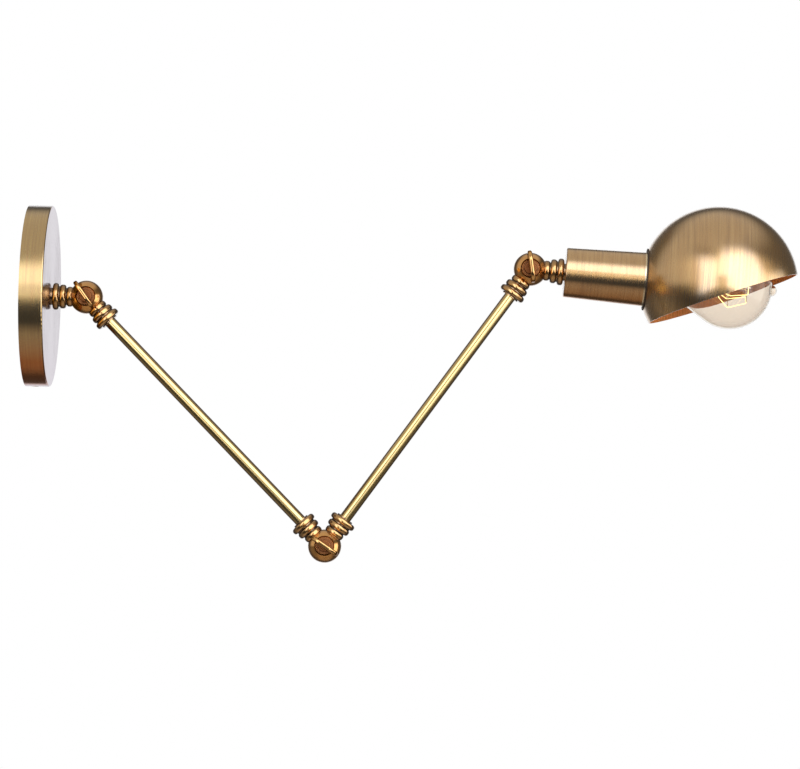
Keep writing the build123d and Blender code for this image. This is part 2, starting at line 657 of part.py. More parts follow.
# Bulb: a clear globe on a screw cap
insulator_back = bulb_foot + CONTACT_T
cap_shell_back = insulator_back + INSULATOR_T
cap_rim = cap_shell_back + CAP_LENGTH
root_r = CAP_D / 2 - CAP_THREAD_DEPTH
bore_r = root_r - CAP_WALL
bulb_contact = rod(CONTACT_D / 2, bulb_foot, insulator_back)
bulb_contact = fillet(bulb_contact.faces().sort_by(Axis.X)[0].edges(), CONTACT_T * 0.6)
insulator = spun(
    [
        (insulator_back, 0),
        (insulator_back, CONTACT_D / 2 + CAP_WALL),
        (cap_shell_back, bore_r),
        (cap_shell_back + INSULATOR_SEAT, bore_r),
        (cap_shell_back + INSULATOR_SEAT, 0),
    ]
)
thread_outline = [(cap_shell_back, root_r)]
for k in range(CAP_THREADS):
    foot = cap_shell_back + (k + 0.3) * CAP_THREAD_PITCH
    thread_outline += [
        (foot, root_r),
        (foot + CAP_THREAD_PITCH * 0.3, CAP_D / 2),
        (foot + CAP_THREAD_PITCH * 0.6, CAP_D / 2),
        (foot + CAP_THREAD_PITCH * 0.9, root_r),
    ]
thread_outline += [(cap_rim, root_r), (cap_rim, 0), (cap_shell_back, 0)]
bulb_cap = spun(thread_outline) - rod(bore_r + SLIP, 0, cap_rim + CUT_PAST)

globe_r = GLOBE_D / 2
globe_at = gasket_front + GLOBE_CENTRE
neck_r = bore_r - CLEAR / 2
neck_back = cap_rim - BULB_NECK_IN
neck_front = cap_rim + BULB_NECK_OUT


def bulb_blank(inset, tip_r, tip_end):
    """The bulb turned solid, shrunk by an inset: neck, cone, globe and the rounded pip at its end."""
    r = globe_r - inset
    n = neck_r - inset
    back = neck_back - inset
    gap = globe_at - neck_front
    touch = math.atan2(n, -gap) - math.acos(r / math.hypot(gap, n))
    leave = math.asin(tip_r / r)
    middle = (touch + leave) / 2
    on_globe = [(globe_at + r * math.cos(t), r * math.sin(t)) for t in (touch, middle, leave)]
    tip_centre = tip_end - tip_r
    tip_mid = (tip_centre + tip_r * math.sqrt(0.5), tip_r * math.sqrt(0.5))
    outline = [
        *Polyline((back, 0), (back, n), (neck_front, n), on_globe[0]).edges(),
        ThreePointArc(*on_globe),
        Line(on_globe[2], (tip_centre, tip_r)),
        ThreePointArc((tip_centre, tip_r), tip_mid, (tip_end, 0)),
        Line((tip_end, 0), (back, 0)),
    ]
    return revolve(make_face(outline), Axis.X, 360)


pip_end = globe_at + globe_r + PIP_HEIGHT
glass = bulb_blank(0, PIP_D / 2, pip_end)
glass -= bulb_blank(GLASS_T, PIP_D / 2 - GLASS_T, pip_end - GLASS_T)
glass -= rod(neck_r - GLASS_T, neck_back - CUT_PAST, neck_back + 2 * CUT_PAST)

rod_r = MOUNT_ROD_D / 2
mount_foot = neck_back + GLASS_T
mount_top = globe_at + globe_r * 0.5
mount = spun(
    [
        (mount_foot, 0),
        (mount_foot, neck_r - GLASS_T - SLIP),
        (mount_foot + MOUNT_FLARE / 3, neck_r - GLASS_T - SLIP),
        (mount_foot + MOUNT_FLARE, MOUNT_NECK_D / 2),
        (globe_at - globe_r * 0.62, MOUNT_PINCH_D / 2),
        (globe_at - globe_r * 0.5, rod_r),
        (mount_top, rod_r),
        (mount_top, 0),
    ]
)

# Filament strands run from a low ring of hooks over a wide ring to a high ring
low = (globe_at + FILAMENT_LOW_AT, FILAMENT_LOW_D / 2)
wide = (globe_at + FILAMENT_WIDE_AT, FILAMENT_WIDE_D / 2)
high = (globe_at + FILAMENT_HIGH_AT, FILAMENT_HIGH_D / 2)
wire_r = FILAMENT_D / 2


def around(station, turn):
    angle = math.radians(turn)
    return (station[0], station[1] * math.cos(angle), station[1] * math.sin(angle))


strand_turns = [(k + 0.5) * 360 / FILAMENT_STRANDS for k in range(FILAMENT_STRANDS)]
filament_points = []
for k, turn in enumerate(strand_turns):
    stations = (low, wide, high) if k % 2 == 0 else (high, wide, low)
    filament_points += [around(station, turn) for station in stations]
filament = bent_wire(filament_points, wire_r, FILAMENT_BEND_R)

supports = []
for station in (wide, high):
    for turn in strand_turns:
        inner = around((station[0], rod_r + TOUCH), turn)
        outer = around((station[0], station[1] - wire_r - SUPPORT_SHORT), turn)
        supports.append(straight_wire(inner, outer, SUPPORT_D / 2))
for turn in (strand_turns[0], strand_turns[-1]):
    inner = around((globe_at - globe_r * 0.72, SUPPORT_FOOT_D / 2), turn)
    outer = around((low[0] - SUPPORT_TO_HOOK, low[1] - SUPPORT_TO_HOOK / 2), turn)
    supports.append(straight_wire(inner, outer, SUPPORT_D / 2))

head_nodes = {
    "socket_cup": cup,
    "head_nipple": head_nipple,
    "head_washer": head_washer,
    "head_nut": head_nut,
    "socket_cap": socket_cap,
    "socket_body": body,
    "socket_terminal_screws": Compound(children=socket_terminals),
    "socket_shell": socket_shell,
    "socket_contact": socket_contact,
    "head_leads": Compound(children=head_leads),
    "shade_seat_ring": seat_ring,
    "shade_gasket": gasket,
    "shade": shade,
    "shade_ring_nut": ring_nut,
    "bulb_contact": bulb_contact,
    "bulb_insulator": insulator,
    "bulb_cap": bulb_cap,
    "bulb_glass": glass,
    "bulb_mount": mount,
    "bulb_supports": Compound(children=supports),
    "bulb_filament": filament,
}
for name, shape in head_nodes.items():
    nodes[name] = at_head * shape

for name, shape in nodes.items():
    export_step(shape, f"parts/{name}.step")
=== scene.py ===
import json
import math

import bpy
from mathutils import Matrix, Vector

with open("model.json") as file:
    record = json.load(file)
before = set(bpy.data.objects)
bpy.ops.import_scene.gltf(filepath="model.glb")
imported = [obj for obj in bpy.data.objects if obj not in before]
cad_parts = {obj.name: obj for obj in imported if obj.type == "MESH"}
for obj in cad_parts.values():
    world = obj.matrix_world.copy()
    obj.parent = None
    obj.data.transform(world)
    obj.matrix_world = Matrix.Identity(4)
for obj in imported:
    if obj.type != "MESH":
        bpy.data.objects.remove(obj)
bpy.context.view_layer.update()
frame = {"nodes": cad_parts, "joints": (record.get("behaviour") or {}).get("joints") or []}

# The extendable wall lamp: a finish for each of its pieces, a pale studio and the photo's camera.
# Lengths are in metres.

nodes = frame["nodes"]
joints = {joint["name"]: joint for joint in frame["joints"]}

SHOULDER = Vector(joints["shoulder_swivel"]["pos_m"])
ELBOW = Vector(joints["elbow_swivel"]["pos_m"])
HEAD = Vector(joints["head_swivel"]["pos_m"])
HEAD_AXIS = Vector(joints["shade_turn"]["axis"]).normalized()
WALL = Vector((0.0, 0.0, 0.0))
WALL_AXIS = Vector((1.0, 0.0, 0.0))
SWIVEL_AXIS = Vector((0.0, 1.0, 0.0))
DOWN = Vector((0.0, 0.0, -1.0))
LOWER_AXIS = (ELBOW - SHOULDER).normalized()
UPPER_AXIS = (HEAD - ELBOW).normalized()
HEAD_UNDERSIDE = SWIVEL_AXIS.cross(HEAD_AXIS)

# Where a finish changes on a piece: each pair is one end of the change and the other
CANOPY_FRONT = (0.0160, 0.0162)
# Spans where painted shade darkens and reddens the undersides of the canopy and the cup
CANOPY_SHADED_SPAN = (0.031, 0.049)
CUP_SHADED_SPAN = (0.006, 0.016)
SHADE_FROM_HEAD = 0.13266
SHADE_CENTRE = HEAD + SHADE_FROM_HEAD * HEAD_AXIS
SHADE_LINING = (0.0551, 0.0553)
BALL_TO_STEM = (0.0112, 0.0136)
BALL_UNDERSIDE = (-0.008, 0.0)
SCREW_SEAT = (-0.0150, -0.0104)
GROOVE_REACH = 0.007

# Brush lines on sheet and tube, and the stripes of the earth lead
HAIRS_PER_METRE = 1500.0
HAIRS_PER_RADIAN = 1.6
LINES_ROUND_TUBE = 9.0
LINES_PER_METRE = 26.0
STRIPE_WAVES = 900.0
FINE_RELIEF = 0.0001

FLOOR_CENTRE = (0.27, 0.0, -1.3)
FLOOR_HALF = 1.0
CAMERA_AT = Vector((0.2653, -2.400, -0.2016))
CAMERA_AIM = Vector((0.2620, 0.0, -0.0564))
CAMERA_ROLL = 1.3
CAMERA_LENS = 154.5


def rgb(red, green, blue):
    return (red, green, blue, 1.0)


BRASS = rgb(0.66, 0.385, 0.13)
BRASS_WORN = rgb(0.74, 0.485, 0.20)
BRASS_DARK = rgb(0.38, 0.19, 0.055)
CANOPY_BRASS = rgb(0.57, 0.375, 0.10)
CANOPY_WORN = rgb(0.66, 0.475, 0.145)
# Painted shade and warm reflection for the undersides of the canopy, the cup and the balls
UNDERSIDE_SHADE_BROWN = rgb(0.40, 0.15, 0.045)
UNDERSIDE_SHADE_RED = rgb(0.46, 0.10, 0.03)
# Painted reflection: the pale lavender that brushed brass is blended to where it turns away from the
# eye
PAINTED_SKIM_REFLECTION = rgb(0.64, 0.62, 0.67)
PALE_SKIM = rgb(0.84, 0.83, 0.88)
# Inside of the shade: copper made brighter and more orange as painted bounce light
LINING = rgb(0.95, 0.42, 0.15)
PALE_GOLD = rgb(0.92, 0.76, 0.48)
PALE_GOLD_WORN = rgb(0.96, 0.84, 0.6)
GOLD = rgb(0.72, 0.51, 0.165)
GOLD_WORN = rgb(0.82, 0.61, 0.23)
COPPER = rgb(0.95, 0.47, 0.115)
OLIVE = rgb(0.66, 0.37, 0.11)
KEY_BRASS = rgb(0.80, 0.48, 0.20)
KEY_DARK = rgb(0.46, 0.22, 0.08)
KEY_SEAT_SHADE = rgb(0.26, 0.10, 0.038)
KEY_SKIM = rgb(0.45, 0.28, 0.16)
BRONZE_DARK = rgb(0.12, 0.045, 0.015)
GROOVE_DARK = rgb(0.05, 0.016, 0.006)
STRIPE_SHADE = rgb(0.02, 0.03, 0.01)
GLASS_SMEAR = rgb(0.95, 0.89, 0.82)
BLACK_GLASS = rgb(0.006, 0.006, 0.007)
BLACK_GLASS_SWIRL = rgb(0.03, 0.028, 0.03)
FLOOR_PAINT = rgb(0.56, 0.50, 0.44)
FLOOR_GRAIN = rgb(0.60, 0.54, 0.475)


class Graph:
    """Adds shader nodes to one node tree and joins them."""

    def __init__(self, tree):
        self.tree = tree

    def feed(self, socket, value):
        """Joins a socket to another one, or sets its constant."""
        if isinstance(value, bpy.types.NodeSocket):
            self.tree.links.new(value, socket)
        else:
            socket.default_value = value

    def add(self, kind, inputs=None, **settings):
        """Adds one node with its settings, and feeds its inputs by name or number."""
        node = self.tree.nodes.new("ShaderNode" + kind)
        for name, value in settings.items():
            setattr(node, name, value)
        for name, value in (inputs or {}).items():
            self.feed(node.inputs[name], value)
        return node

    def math(self, operation, *values):
        return self.add("Math", dict(enumerate(values)), operation=operation).outputs[0]

    def vector(self, operation, *values):
        node = self.add("VectorMath", dict(enumerate(values)), operation=operation)
        return node.outputs["Value" if operation in ("DOT_PRODUCT", "LENGTH") else "Vector"]

    def along(self, place, point, axis):
        """How far a place lies from a point along an axis."""
        return self.vector("DOT_PRODUCT", self.vector("SUBTRACT", place, point), axis)

    def parts(self, vector):
        """The x, y and z of a vector."""
        return self.add("SeparateXYZ", {0: vector}).outputs

    def joined(self, x, y, z):
        """A vector from its x, y and z."""
        return self.add("CombineXYZ", {0: x, 1: y, 2: z}).outputs[0]

    def noise(self, vector, scale, detail, roughness, distortion=0.0):
        settings = {"Vector": vector, "Scale": scale, "Detail": detail}
        settings.update({"Roughness": roughness, "Distortion": distortion})
        return self.add("TexNoise", settings).outputs["Fac"]

    def spread(self, value, low, high, to_low, to_high):
        """Maps a value from one range to another and holds it at the ends."""
        ends = {"From Min": low, "From Max": high, "To Min": to_low, "To Max": to_high}
        return self.add("MapRange", {"Value": value, **ends}).outputs["Result"]

    def above(self, value, start, full):
        """Grows from zero to one as a value rises past an edge."""
        return self.spread(value, start, full, 0.0, 1.0)

    def below(self, value, full, end):
        """Falls from one to zero as a value rises past an edge."""
        return self.spread(value, full, end, 1.0, 0.0)

    def mix(self, factor, first, second):
        """Blends two colours. A Mix node's colours are its inputs 6 and 7 and its output 2."""
        node = self.add("Mix", {0: factor, 6: first, 7: second}, data_type="RGBA")
        return node.outputs[2]

    def stain(self, tone, colour, value, start, full, most):
        """Blends a colour in where a value rises past an edge, up to a share."""
        return self.mix(self.spread(value, start, full, 0.0, most), tone, colour)

    def side_shade(self, start, full, most):
        """A mask for painted edge reflection and shade: grows from zero where a surface faces the eye
        to its most where it turns away.
        """
        skim = self.add("LayerWeight", {"Blend": 0.5}).outputs["Facing"]
        return self.spread(skim, start, full, 0.0, most)

    def bump(self, height, strength, distance=FINE_RELIEF):
        inputs = {"Height": height, "Strength": strength, "Distance": distance}
        return self.add("Bump", inputs).outputs["Normal"]

    def world_direction(self, vector):
        """Turns a direction on the piece into one in the room, so that it follows the piece."""
        return self.add("VectorTransform", {"Vector": vector}, vector_type="VECTOR",
                        convert_from="OBJECT", convert_to="WORLD").outputs[0]


def material(name, **constants):
    """A node material: its graph, its surface shader and the object coordinates."""
    made = bpy.data.materials.new(name)
    made.use_nodes = True
    shader = made.node_tree.nodes["Principled BSDF"]
    for socket, value in constants.items():
        shader.inputs[socket.replace("_", " ")].default_value = value
    graph = Graph(made.node_tree)
    place = graph.add("TexCoord").outputs["Object"]
    return made, graph, shader, place


def turned(graph, place, point, axis):
    """Height along an axis, distance from it, angle round it and the direction round it."""
    across = axis.orthogonal().normalized()
    third = axis.cross(across)
    offset = graph.vector("SUBTRACT", place, point)
    height = graph.vector("DOT_PRODUCT", offset, axis)
    first = graph.vector("DOT_PRODUCT", offset, across)
    second = graph.vector("DOT_PRODUCT", offset, third)
    angle = graph.math("ARCTAN2", first, second)
    radius = graph.math("SQRT", graph.math("ADD", graph.math("POWER", first, 2.0),
                                           graph.math("POWER", second, 2.0)))
    return height, radius, angle, graph.vector("CROSS_PRODUCT", axis, offset)


def brushed_brass(name, point, axis, colour, worn, rough=0.25, tarnish=0.3,
                  edge=(0.80, 0.96), lining=None, front=None, underside_shade=None):
    """Lacquered sheet brass brushed round an axis, with hairlines, streaks and a thin tarnish.

    The lining is the inside of a globe, its copper made brighter as painted bounce light;
    the front is a polished face without lacquer; the underside shade is painted shade and warm
    reflection that darkens and reddens one side; and the edge sets where painted reflection pales it.
    """
    made, graph, shader, place = material(
        name, Metallic=1.0, Anisotropic=0.88, Anisotropic_Rotation=0.25,
        Coat_Roughness=0.2, Coat_IOR=2.4)
    height, radius, angle, round_axis = turned(graph, place, point, axis)
    hair_place = graph.joined(graph.math("MULTIPLY", height, HAIRS_PER_METRE),
                              graph.math("MULTIPLY", radius, HAIRS_PER_METRE),
                              graph.math("MULTIPLY", angle, HAIRS_PER_RADIAN))
    hairs = graph.noise(hair_place, scale=1.0, detail=4.0, roughness=0.6)
    streaks = graph.noise(hair_place, scale=0.4, detail=3.0, roughness=0.6)
    bands = graph.noise(hair_place, scale=0.11, detail=2.0, roughness=0.5)
    patches = graph.noise(place, scale=38.0, detail=5.0, roughness=0.62, distortion=0.4)
    specks = graph.noise(place, scale=900.0, detail=2.0, roughness=0.5)
    tone = graph.stain(colour, BRASS_DARK, patches, 0.38, 0.68, tarnish)
    tone = graph.stain(tone, worn, bands, 0.35, 0.7, 0.35)
    tone = graph.stain(tone, worn, streaks, 0.5, 0.66, 0.6)
    tone = graph.mix(graph.spread(streaks, 0.34, 0.5, 0.5, 0.0), tone, BRASS_DARK)
    tone = graph.mix(graph.spread(hairs, 0.3, 0.72, 0.3, 0.0), tone, BRASS_DARK)
    tone = graph.stain(tone, BRASS_DARK, specks, 0.66, 0.76, 0.3)
    coat = 1.0
    # Painted shade and reflection: towards the underside the colour darkens and reddens and the coat
    # thins
    if underside_shade:
        side, (start, full), shade_colour = underside_shade
        depth = graph.along(place, point, side)
        tone = graph.stain(tone, shade_colour, depth, start, full, 0.7)
        coat = graph.spread(depth, start, full, 1.0, 0.12)
    # Painted reflection: where the surface turns away from the eye its colour pales to lavender
    tone = graph.mix(graph.side_shade(*edge, 0.9), tone, PAINTED_SKIM_REFLECTION)
    # Painted bounce light: inside the globe the colour turns a bright orange copper, less metallic and
    # with a thin coat
    if lining:
        centre, ends, inner_colour = lining
        away = graph.vector("LENGTH", graph.vector("SUBTRACT", place, centre))
        inside = graph.below(away, *ends)
        tone = graph.mix(inside, tone, inner_colour)
        graph.feed(shader.inputs["Metallic"], graph.spread(inside, 0.0, 1.0, 1.0, 0.2))
        coat = graph.math("MULTIPLY", coat, graph.spread(inside, 0.0, 1.0, 1.0, 0.2))
    sheen = graph.math("ADD", graph.spread(hairs, 0.3, 0.7, rough + 0.05, rough - 0.04),
                       graph.spread(patches, 0.35, 0.7, -0.02, 0.05))
    sheen = graph.math("ADD", sheen, graph.spread(streaks, 0.35, 0.65, 0.04, -0.04))
    if front:
        on_front = graph.above(height, *front)
        sheen = graph.math("SUBTRACT", sheen, graph.math("MULTIPLY", on_front, rough - 0.1))
        coat = graph.math("MULTIPLY", coat, graph.below(on_front, 0.0, 1.0))
        shader.inputs["Specular Tint"].default_value = PALE_SKIM
    graph.feed(shader.inputs["Base Color"], tone)
    graph.feed(shader.inputs["Coat Weight"], coat)
    graph.feed(shader.inputs["Roughness"], sheen)
    graph.feed(shader.inputs["Normal"], graph.bump(hairs, 0.04))
    graph.feed(shader.inputs["Tangent"], graph.world_direction(round_axis))
    return made


def drawn_brass(name, point, axis):
    """Drawn tube: fine lines along its length and a soft lengthwise sheen."""
    made, graph, shader, place = material(
        name, Metallic=1.0, Anisotropic=0.6, Anisotropic_Rotation=0.25,
        Coat_Weight=1.0, Coat_Roughness=0.06, Coat_IOR=2.0)
    height, _, angle, _ = turned(graph, place, point, axis)
    line_place = graph.joined(
        graph.math("MULTIPLY", graph.math("COSINE", angle), LINES_ROUND_TUBE),
        graph.math("MULTIPLY", graph.math("SINE", angle), LINES_ROUND_TUBE),
        graph.math("MULTIPLY", height, LINES_PER_METRE))
    lines = graph.noise(line_place, scale=1.3, detail=4.0, roughness=0.6)
    patches = graph.noise(place, scale=55.0, detail=5.0, roughness=0.6, distortion=0.3)
    specks = graph.noise(place, scale=1100.0, detail=2.0, roughness=0.5)
    tone = graph.stain(GOLD, BRASS_DARK, patches, 0.4, 0.7, 0.2)
    tone = graph.stain(tone, GOLD_WORN, lines, 0.42, 0.7, 0.35)
    tone = graph.stain(tone, BRASS_DARK, specks, 0.68, 0.76, 0.2)
    # Painted shade: the tube darkens towards its edges as they turn away from the eye
    tone = graph.mix(graph.side_shade(0.12, 0.5, 0.9), tone, BRONZE_DARK)
    graph.feed(shader.inputs["Base Color"], tone)
    graph.feed(shader.inputs["Roughness"], graph.spread(lines, 0.3, 0.7, 0.17, 0.12))
    graph.feed(shader.inputs["Normal"], graph.bump(lines, 0.04))
    graph.feed(shader.inputs["Tangent"], graph.world_direction(tuple(axis)))
    return made


def cast_brass(name, pivot, rough=0.18):
    """Cast and turned knuckle: a coppery ball and an olive stem, with painted shade under the ball, on
    the stem's sides and at the edges, and tarnish and painted shade together in the grooves.
    """
    made, graph, shader, place = material(name, Metallic=1.0, Coat_Roughness=0.08, Coat_IOR=1.8)
    offset = graph.vector("SUBTRACT", place, pivot)
    away = graph.vector("LENGTH", offset)
    height = graph.parts(offset)[2]
    mottle = graph.noise(place, scale=240.0, detail=5.0, roughness=0.62, distortion=0.5)
    cloud = graph.noise(place, scale=70.0, detail=3.0, roughness=0.55)
    specks = graph.noise(place, scale=1500.0, detail=2.0, roughness=0.5)
    open_to = graph.add("AmbientOcclusion", {"Distance": GROOVE_REACH}, samples=8, only_local=True)
    on_stem = graph.above(away, *BALL_TO_STEM)
    under = graph.math("MULTIPLY", graph.below(height, *BALL_UNDERSIDE),
                       graph.below(on_stem, 0.0, 1.0))
    tone = graph.mix(on_stem, COPPER, OLIVE)
    # Painted shade: the ball's underside is darkened and reddened
    tone = graph.mix(graph.math("MULTIPLY", under, 0.4), tone, UNDERSIDE_SHADE_BROWN)
    tone = graph.stain(tone, BRONZE_DARK, mottle, 0.42, 0.7, 0.18)
    tone = graph.stain(tone, BRONZE_DARK, cloud, 0.45, 0.7, 0.18)
    tone = graph.stain(tone, BRONZE_DARK, specks, 0.66, 0.74, 0.3)
    # Painted shade: the stem's sides, and every surface turning away from the eye, are darkened
    stem_side = graph.math("MULTIPLY", on_stem, graph.side_shade(0.15, 0.6, 0.9))
    tone = graph.mix(stem_side, tone, BRONZE_DARK)
    tone = graph.mix(graph.side_shade(0.45, 0.9, 0.6), tone, BRONZE_DARK)
    # Darkened in the grooves and recesses that ambient occlusion finds: partly tarnish, partly painted
    # shade
    tone = graph.mix(graph.spread(open_to.outputs["AO"], 0.4, 0.95, 0.96, 0.0), tone, GROOVE_DARK)
    graph.feed(shader.inputs["Base Color"], tone)
    graph.feed(shader.inputs["Roughness"], graph.spread(mottle, 0.3, 0.72, rough - 0.05, rough + 0.08))
    # The coat thins under the ball, deepening the painted shade there
    graph.feed(shader.inputs["Coat Weight"], graph.spread(under, 0.0, 1.0, 1.0, 0.25))
    graph.feed(shader.inputs["Normal"], graph.bump(mottle, 0.04, 2 * FINE_RELIEF))
    return made


def thumbscrew_brass(name):
    """Polished brass key, darkened with painted shade and made duller where it sits in its seat, and
    darkened as painted shade at its edges.
    """
    made, graph, shader, place = material(name, Metallic=1.0, Specular_Tint=KEY_SKIM)
    mottle = graph.noise(place, scale=300.0, detail=4.0, roughness=0.6)
    specks = graph.noise(place, scale=2200.0, detail=2.0, roughness=0.5)
    seated = graph.above(graph.parts(place)[1], *SCREW_SEAT)
    tone = graph.stain(KEY_BRASS, KEY_DARK, mottle, 0.35, 0.7, 0.5)
    tone = graph.stain(tone, KEY_DARK, specks, 0.62, 0.75, 0.3)
    # Painted shade: where the key sits in its seat its colour is darkened
    tone = graph.mix(seated, tone, KEY_SEAT_SHADE)
    # Painted shade: edges turning away from the eye are darkened
    tone = graph.mix(graph.side_shade(0.35, 0.8, 0.9), tone, BRONZE_DARK)
    sheen = graph.math("ADD", graph.spread(mottle, 0.3, 0.7, 0.07, 0.13),
                       graph.math("MULTIPLY", seated, 0.3))
    graph.feed(shader.inputs["Base Color"], tone)
    graph.feed(shader.inputs["Roughness"], sheen)
    graph.feed(shader.inputs["Normal"], graph.bump(specks, 0.04))
    return made


def plated(name, colour, dark, rough, **constants):
    """Small plated or blackened steel and brass parts."""
    made, graph, shader, place = material(name, Metallic=1.0, **constants)
    mottle = graph.noise(place, scale=420.0, detail=4.0, roughness=0.6)
    specks = graph.noise(place, scale=2200.0, detail=2.0, roughness=0.5)
    tone = graph.stain(colour, dark, mottle, 0.35, 0.7, 0.6)
    tone = graph.stain(tone, dark, specks, 0.62, 0.75, 0.35)
    graph.feed(shader.inputs["Base Color"], tone)
    graph.feed(shader.inputs["Roughness"], graph.spread(mottle, 0.3, 0.7, 0.7 * rough, 1.35 * rough))
    graph.feed(shader.inputs["Normal"], graph.bump(specks, 0.04))
    return made


def moulded(name, colour, shade, rough, grain=600.0):
    """Moulded plastic, fibre, rubber and wire insulation."""
    made, graph, shader, place = material(name)
    mottle = graph.noise(place, scale=grain, detail=4.0, roughness=0.6)
    cloud = graph.noise(place, scale=90.0, detail=3.0, roughness=0.5)
    tone = graph.stain(colour, shade, mottle, 0.35, 0.7, 0.5)
    tone = graph.stain(tone, shade, cloud, 0.4, 0.7, 0.35)
    graph.feed(shader.inputs["Base Color"], tone)
    graph.feed(shader.inputs["Roughness"], graph.spread(mottle, 0.3, 0.7, rough - 0.06, rough + 0.1))
    graph.feed(shader.inputs["Normal"], graph.bump(mottle, 0.1))
    return made


def striped(name, colour, stripe, point, axis):
    """Earth lead insulation: two colours that take turns along an axis."""
    made, graph, shader, place = material(name, Roughness=0.42)
    height = graph.along(place, point, axis)
    wave = graph.math("SINE", graph.math("MULTIPLY", height, STRIPE_WAVES))
    fine = graph.noise(place, scale=900.0, detail=3.0, roughness=0.5)
    tone = graph.mix(graph.above(wave, -0.1, 0.1), colour, stripe)
    tone = graph.stain(tone, STRIPE_SHADE, fine, 0.4, 0.7, 0.25)
    graph.feed(shader.inputs["Base Color"], tone)
    graph.feed(shader.inputs["Normal"], graph.bump(fine, 0.08))
    return made


def blown_glass(name, tint, wave=0.02):
    """Clear glass with the faint waviness of a blown bulb."""
    made, graph, shader, place = material(name, Transmission_Weight=1.0, IOR=1.47)
    ripple = graph.noise(place, scale=45.0, detail=2.0, roughness=0.5)
    smear = graph.noise(place, scale=120.0, detail=4.0, roughness=0.6)
    tone = graph.stain(tint, GLASS_SMEAR, smear, 0.4, 0.75, 0.5)
    graph.feed(shader.inputs["Base Color"], tone)
    graph.feed(shader.inputs["Roughness"], graph.spread(smear, 0.5, 0.8, 0.0, 0.04))
    graph.feed(shader.inputs["Normal"], graph.bump(ripple, wave, 20 * FINE_RELIEF))
    return made


def black_glass(name):
    """Pressed black glass with a faint swirl."""
    made, graph, shader, place = material(name, Coat_Weight=0.6, Coat_Roughness=0.05)
    swirl = graph.noise(place, scale=160.0, detail=4.0, roughness=0.6, distortion=1.0)
    graph.feed(shader.inputs["Base Color"], graph.mix(swirl, BLACK_GLASS, BLACK_GLASS_SWIRL))
    graph.feed(shader.inputs["Roughness"], graph.spread(swirl, 0.3, 0.7, 0.08, 0.2))
    return made


# The canopy and the cup get painted shade on their undersides
canopy_brass = brushed_brass("canopy_brass", WALL, WALL_AXIS, CANOPY_BRASS, CANOPY_WORN,
                             rough=0.20, edge=(0.72, 0.92), front=CANOPY_FRONT,
                             underside_shade=(DOWN, CANOPY_SHADED_SPAN, UNDERSIDE_SHADE_RED))
cup_brass = brushed_brass("cup_brass", HEAD, HEAD_AXIS, BRASS, BRASS_WORN,
                          underside_shade=(HEAD_UNDERSIDE, CUP_SHADED_SPAN, UNDERSIDE_SHADE_BROWN))
shade_brass = brushed_brass("shade_brass", HEAD, HEAD_AXIS, BRASS, BRASS_WORN,
                            lining=(SHADE_CENTRE, SHADE_LINING, LINING))
ring_brass = brushed_brass("ring_brass", HEAD, HEAD_AXIS, PALE_GOLD, PALE_GOLD_WORN,
                           rough=0.2, tarnish=0.15)
lower_tube = drawn_brass("lower_tube_brass", SHOULDER, LOWER_AXIS)
upper_tube = drawn_brass("upper_tube_brass", ELBOW, UPPER_AXIS)
shoulder_brass = cast_brass("shoulder_brass", SHOULDER)
elbow_brass = cast_brass("elbow_brass", ELBOW)
knuckle_brass = cast_brass("head_knuckle_brass", HEAD)
screw_brass = thumbscrew_brass("thumbscrew_brass")
bronze_steel = plated("bronzed_steel", rgb(0.30, 0.125, 0.05), rgb(0.12, 0.045, 0.02), 0.40)
bright_brass = plated("bright_brass", rgb(0.88, 0.66, 0.32), rgb(0.66, 0.44, 0.18), 0.22)
zinc = plated("zinc_steel", rgb(0.66, 0.66, 0.64), rgb(0.46, 0.46, 0.45), 0.3)
black_steel = plated("black_steel", rgb(0.05, 0.05, 0.05), rgb(0.02, 0.02, 0.02), 0.38)
green_steel = plated("green_steel", rgb(0.20, 0.42, 0.18), rgb(0.12, 0.28, 0.11), 0.35)
solder = plated("solder", rgb(0.62, 0.61, 0.6), rgb(0.42, 0.42, 0.42), 0.36)
support_steel = plated("support_wire", rgb(0.96, 0.90, 0.76), rgb(0.84, 0.76, 0.6), 0.4)
filament_steel = plated("filament_wire", rgb(0.96, 0.82, 0.52), rgb(0.84, 0.62, 0.32), 0.35,
                        Emission_Color=rgb(1.0, 0.74, 0.26), Emission_Strength=2.8)
fibre = moulded("dark_fibre", rgb(0.022, 0.012, 0.008), rgb(0.05, 0.028, 0.018), 0.6)
phenolic = moulded("black_phenolic", rgb(0.016, 0.014, 0.013), rgb(0.05, 0.04, 0.035), 0.34, 300.0)
white_plastic = moulded("white_plastic", rgb(0.78, 0.77, 0.73), rgb(0.66, 0.65, 0.6), 0.4)
insulation = moulded("lead_insulation", rgb(0.10, 0.055, 0.03), rgb(0.06, 0.03, 0.015), 0.45)
earth_insulation = striped("earth_insulation", rgb(0.05, 0.30, 0.06), rgb(0.75, 0.62, 0.04),
                           WALL, SWIVEL_AXIS)
bulb_black = black_glass("bulb_black_glass")
bulb_clear = blown_glass("bulb_clear_glass", rgb(0.95, 0.88, 0.79))
mount_clear = blown_glass("mount_clear_glass", rgb(0.97, 0.99, 0.985), 0.04)

